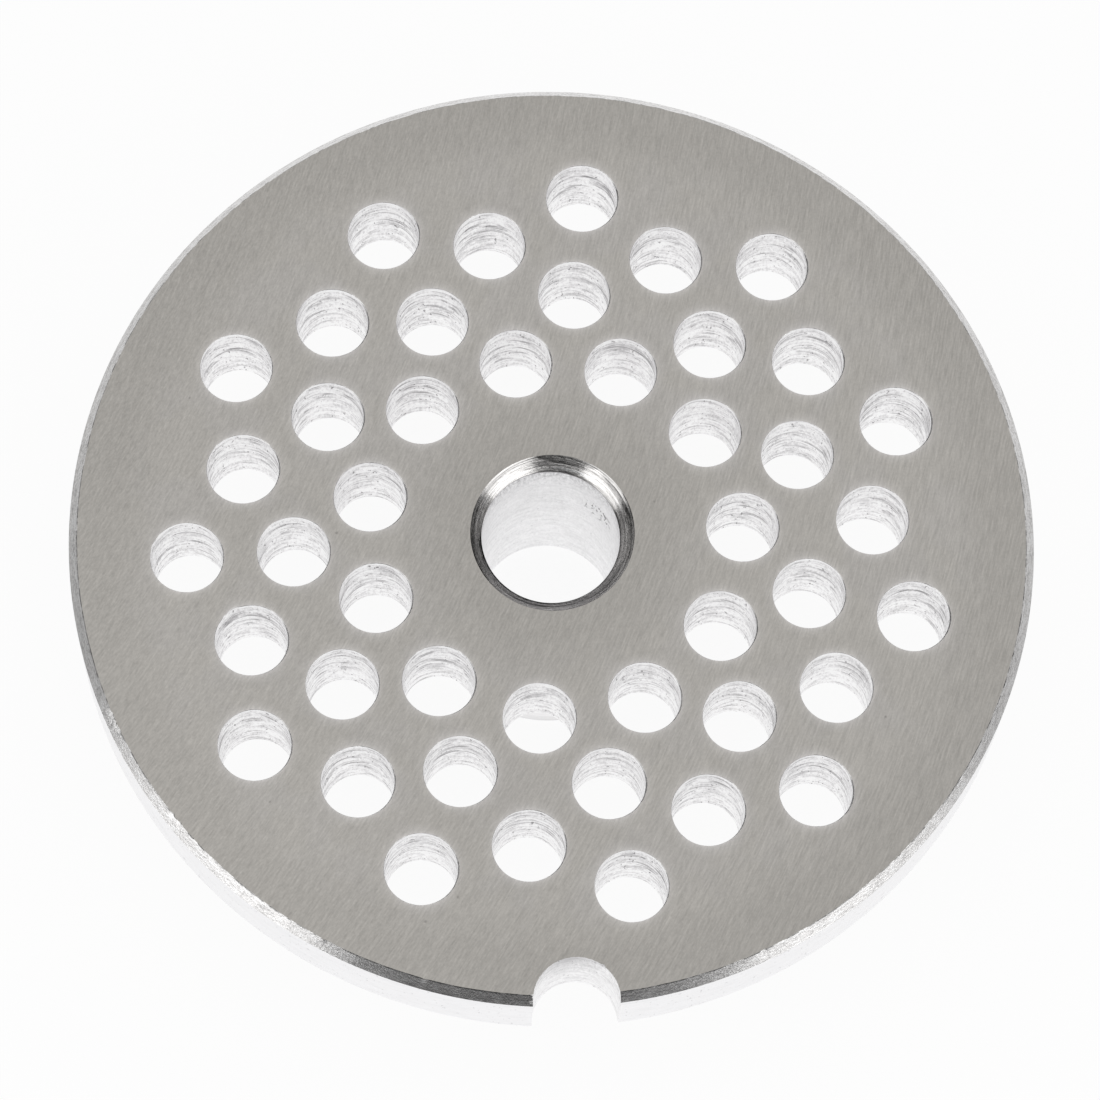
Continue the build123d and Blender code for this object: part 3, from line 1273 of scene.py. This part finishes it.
@dataclass(frozen=True)
class GrinderPlate:
    """The whole plate: one closed piece of steel with a finish in each zone."""

    disc: Disc = Disc()
    holes: FeedHoles = FeedHoles()
    centre: BoreAndHub = BoreAndHub()

    def finishes(self) -> dict[Zone, Steel]:
        """The finish of each zone: name, tint, roughness, relief and its marks.

        Returns:
            The finishes by zone.
        """
        return {
            Zone.CUTTING_FACE: GroundSteel("ground_face", (0.457, 0.439, 0.411), 0.36, 0.006),
            Zone.RIM_CHAMFER: TurnedSteel(
                "turned_chamfer", (0.92, 0.907, 0.90), 0.235, 0.014,
                grain=1.15, dashes=1.0, spots=0.2, edge_line=0.7,
            ),
            Zone.RIM_WALL: DrilledSteel(
                "rim_wall", (0.95, 0.945, 0.957), 0.30, 0.004,
                rings=0.05, streaks=0.12, specks=0.3, fuzz=0.05,
            ),
            Zone.NOTCH_WALL: DrilledSteel(
                "notch_wall", (0.95, 0.943, 0.95), 0.34, 0.006,
                rings=0.15, streaks=0.5, specks=0.35, shade=0.10, shade_depth=6.0, fuzz=0.5, top_fuzz=0.7,
            ),
            # The broken edge's tint is its own, lowered by painted shade: a darker line round each hole's
            # edge.
            Zone.HOLE_EDGE: TurnedSteel("broken_edge", (0.70, 0.692, 0.685), 0.30, 0.004, grain=0.6),
            Zone.HOLE_WALL: DrilledSteel(
                "drilled_wall", (0.955, 0.945, 0.952), 0.33, 0.010,
                rings=0.40, streaks=1.0, shade=0.02, shade_depth=6.0, fuzz=1.0, band=0.5, crest_highlight=0.8,
                scar_at=(-33.3, -1.2, 20.0), scar_size=1.6,
            ),
            Zone.COUNTERSINK: CountersunkSteel("countersink", (0.81, 0.795, 0.782), 0.245, 0.013),
            Zone.BORE_WALL: DrilledSteel(
                "reamed_bore", (0.92, 0.915, 0.922), 0.36, 0.005,
                rings=0.10, ring_scale=2.2, streaks=0.25, specks=0.15, shade=0.24, shade_depth=4.5,
                fuzz=0.35, top_fuzz=2.0, scar_at=(4.2, 3.7, 15.0), scar_size=2.2,
            ),
            Zone.BACK_FACE: TurnedSteel(
                "turned_back", (0.50, 0.485, 0.463), 0.38, 0.006, grain=0.08, rings=0.14, ring_scale=4.5
            ),
            Zone.HUB: TurnedSteel(
                "turned_hub", (0.92, 0.91, 0.915), 0.34, 0.006, grain=0.1, rings=0.16, ring_scale=3.8
            ),
        }

    def build(self) -> bpy.types.Object:
        """Builds the plate, dresses it and puts it in the CAD node's place.

        Returns:
            The plate's object.
        """
        shell = Shell()
        front, back = self.holes.build(shell)
        mouth, root = self.centre.build(shell)
        self.disc.build(shell, [*front, mouth], [*back, root])
        mesh = shell.mesh("steel_plate")
        finishes = self.finishes()
        for zone in Zone:
            mesh.materials.append(finishes[zone].material())
        plate = bpy.data.objects.new("steel_plate", mesh)
        bpy.context.scene.collection.objects.link(plate)
        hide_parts("grinder_plate")
        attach(plate, "root")
        return plate


# --------------------------------------------------------------------- studio


@dataclass(frozen=True)
class Softbox:
    """A lamp panel that faces the plate."""

    name: str
    azimuth_deg: float
    elevation_deg: float
    distance: float
    width: float
    height: float
    level: float

    def build(self) -> bpy.types.Object:
        """Makes the panel. Its power is pi * area * level, for a radiance of level.

        Returns:
            The lamp's object.
        """
        lamp = bpy.data.lights.new(self.name, "AREA")
        lamp.shape = "RECTANGLE"
        lamp.size, lamp.size_y = self.width, self.height
        lamp.energy = math.pi * self.width * self.height * self.level
        panel = bpy.data.objects.new(self.name, lamp)
        a, e = math.radians(self.azimuth_deg), math.radians(self.elevation_deg)
        towards = Vector((math.cos(a) * math.cos(e), math.sin(a) * math.cos(e), math.sin(e)))
        panel.location = towards * self.distance
        panel.rotation_mode = "QUATERNION"
        panel.rotation_quaternion = towards.to_track_quat("Z", "Y")
        panel.visible_camera = False
        bpy.context.scene.collection.objects.link(panel)
        return panel


@dataclass(frozen=True)
class Studio:
    """Pale floor, soft lamps and the dim room round them, in metres."""

    floor_half: float = 3.0
    floor_points: int = 9
    painted_falloff_left: float = 0.415
    painted_falloff_right: float = 0.62
    painted_falloff_width: float = 0.40
    floor_seen: Colour = (0.98, 0.98, 0.98)
    floor_glow: float = 0.93
    glow_pool_near: float = 0.044
    glow_pool_far: float = 0.145
    room_level: float = 0.038
    room_blue: float = 1.02
    softboxes: tuple[Softbox, ...] = (
        Softbox("front_left_softbox", -150.3, 15.5, 1.2, 1.02, 0.70, 1.27),
        Softbox("front_right_softbox", -40.5, 18.0, 1.2, 0.93, 0.70, 1.36),
        Softbox("right_edge_card", -67.0, 27.0, 1.2, 0.18, 0.56, 1.36),
        Softbox("overhead_panel", 90.0, 89.9, 1.1, 4.4, 4.4, 0.787),
    )

    def floor_material(self) -> bpy.types.Material:
        """The floor's look.

        Seen directly it is mostly white of its own, and the rest takes the lamps' light and the plate's
        shadow. In metal it shows the same white near the plate, a painted pool of light that fades to its
        plain lit white further out. That lit white is painted darker to the left, as painted falloff from
        the lamps. From below it is clear.

        Returns:
            The material.
        """
        made = bpy.data.materials.new("pale_floor")
        r = Recipe(made)
        p = r.place()
        path = r.node("ShaderNodeLightPath", {})
        # Painted pool of light: in metal the floor glows white near the plate.
        near = r.ramp(p.radius(), Step(self.glow_pool_near / MM, self.glow_pool_far / MM, 1.0, 0.0))
        direct = r.math("MAXIMUM", r.read(path, "Is Camera Ray"), r.read(path, "Is Transmission Ray"))
        seen = r.math("MAXIMUM", direct, r.read(path, "Is Glossy Ray") * near)
        # Painted falloff: the floor's lit white darker to the left.
        falloff = Step(-self.painted_falloff_width / MM, self.painted_falloff_width / MM, self.painted_falloff_left, self.painted_falloff_right)
        shade = r.blend(direct, r.tinted(WHITE, r.ramp(p.x, falloff)), self.floor_seen)
        matt = r.node("ShaderNodeBsdfDiffuse", {"Color": shade})
        glow = r.node("ShaderNodeEmission", {"Color": (*WHITE, 1.0), "Strength": 1.0})
        lit = r.shaders(seen * self.floor_glow, matt, glow)
        below = r.read(r.node("ShaderNodeNewGeometry", {}), "Backfacing")
        both = r.shaders(below, lit, r.node("ShaderNodeBsdfTransparent", {}))
        r.node("ShaderNodeOutputMaterial", {"Surface": both.outputs[0]})
        return made

    def floor(self) -> bpy.types.Object:
        """The floor, a flat square grid at z = 0.

        Returns:
            The floor's object.
        """
        n = self.floor_points
        x, y = np.meshgrid(*[np.linspace(-self.floor_half, self.floor_half, n)] * 2)
        points = np.stack([x, y, 0 * x], axis=-1).reshape(-1, 3)
        i = np.arange(n * n).reshape(n, n)
        quads = np.stack([i[:-1, :-1], i[:-1, 1:], i[1:, 1:], i[1:, :-1]], -1).reshape(-1, 4)
        mesh = bpy.data.meshes.new("pale_floor")
        mesh.from_pydata(points.tolist(), [], quads.tolist())
        mesh.materials.append(self.floor_material())
        floor = bpy.data.objects.new("pale_floor", mesh)
        bpy.context.scene.collection.objects.link(floor)
        return floor

    def room(self) -> bpy.types.World:
        """The room: an even dim grey that lights the plate, white to the eye.

        Returns:
            The world.
        """
        world = bpy.data.worlds.new("studio_room")
        r = Recipe(world)
        level = self.room_level
        dim = r.node("ShaderNodeBackground", {"Color": (level, level, level * self.room_blue, 1.0)})
        white = r.node("ShaderNodeBackground", {"Color": (*WHITE, 1.0)})
        seen = r.read(r.node("ShaderNodeLightPath", {}), "Is Camera Ray")
        r.node("ShaderNodeOutputWorld", {"Surface": r.shaders(seen, dim, white).outputs[0]})
        bpy.context.scene.world = world
        return world

    def build(self) -> None:
        """Builds the floor, the room and the lamps."""
        self.floor()
        self.room()
        for softbox in self.softboxes:
            softbox.build()
        bpy.context.scene.view_settings.view_transform = "Standard"


@dataclass(frozen=True)
class ViewPoint:
    """The camera: where it stands round the cutting face, and its lens."""

    azimuth_deg: float = -6.7718
    elevation_deg: float = 71.491
    roll_deg: float = 4.137
    distance: float = 427.363
    aim_right: float = -0.1059
    aim_up: float = -1.5888
    lens: float = 165.10
    sensor: float = 36.0
    clip_near: float = 0.01
    clip_far: float = 20.0

    def build(self) -> bpy.types.Object:
        """Makes the camera.

        It looks back along (sin a cos e, -cos a cos e, sin e) at a point of
        the cutting face, and is then rolled about that line.

        Returns:
            The camera's object.
        """
        a, e, c = (math.radians(v) for v in (self.azimuth_deg, self.elevation_deg, self.roll_deg))
        back = np.array([math.sin(a) * math.cos(e), -math.cos(a) * math.cos(e), math.sin(e)])
        level = np.array([math.cos(a), math.sin(a), 0.0])
        north = np.array([-math.sin(a), math.cos(a), 0.0])
        rise = np.cross(back, level)
        right = math.cos(c) * level + math.sin(c) * rise
        up = math.cos(c) * rise - math.sin(c) * level
        target = self.aim_right * level + self.aim_up * north + np.array([0.0, 0.0, FACE_HEIGHT])
        eye = (target + back * self.distance) * MM
        data = bpy.data.cameras.new("view_camera")
        data.lens, data.sensor_width = self.lens, self.sensor
        data.clip_start, data.clip_end = self.clip_near, self.clip_far
        camera = bpy.data.objects.new("view_camera", data)
        pose = np.vstack([np.column_stack([right, up, back, eye]), [0, 0, 0, 1]])
        camera.matrix_world = Matrix(pose.tolist())
        bpy.context.scene.collection.objects.link(camera)
        bpy.context.scene.camera = camera
        return camera


def main() -> None:
    """Builds the plate, the studio and the camera, and reports the pieces."""
    logging.basicConfig(level=logging.INFO, format="%(name)s: %(message)s")
    plate = GrinderPlate().build()
    log.info("%s: %d vertices, %d finishes", plate.name, len(plate.data.vertices), len(plate.data.materials))
    Studio().build()
    log.info("studio built")
    camera = ViewPoint().build()
    log.info("%s: lens %.1f mm", camera.name, camera.data.lens)


if __name__ == "__main__":
    main()
